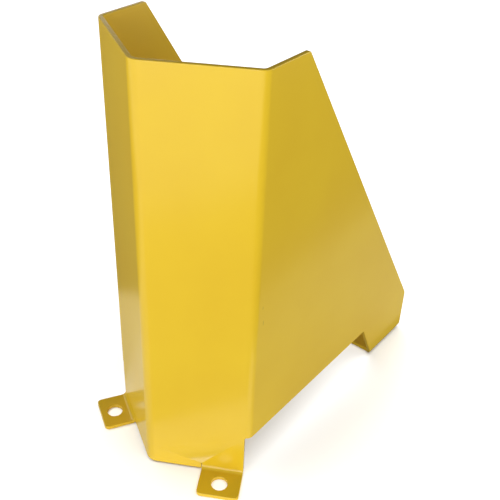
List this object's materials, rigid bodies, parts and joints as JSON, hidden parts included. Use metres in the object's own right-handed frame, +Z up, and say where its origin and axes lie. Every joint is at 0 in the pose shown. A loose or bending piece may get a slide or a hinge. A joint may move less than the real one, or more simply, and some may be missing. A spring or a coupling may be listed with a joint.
{
  "type": "column guard",
  "caption": "Folded steel plate guard for the foot of a column: V nose, two parallel wings with a sloping rear edge, and folded feet with anchor holes.",
  "frame": {"origin": "middle of the guard's footprint, on the floor", "axes": "+Z up, +Y from the nose to the rear end of the wings, +X from the middle plane to the right wing, which is on the right of someone who faces the nose"},
  "size_m": [0.183, 0.329, 0.4],
  "materials": {
    "powder_coat": "glossy traffic yellow powder coat on cut and folded steel plate"
  },
  "bodies": {
    "root": {"nose_bend": "powder_coat", "nose_panel_left": "powder_coat", "nose_panel_right": "powder_coat", "shoulder_bend_left": "powder_coat", "shoulder_bend_right": "powder_coat", "wing_panel_left": "powder_coat", "wing_panel_right": "powder_coat", "nose_foot_left": "powder_coat", "nose_foot_right": "powder_coat", "wing_foot_left": "powder_coat", "wing_foot_right": "powder_coat"}
  },
  "joints": []
}
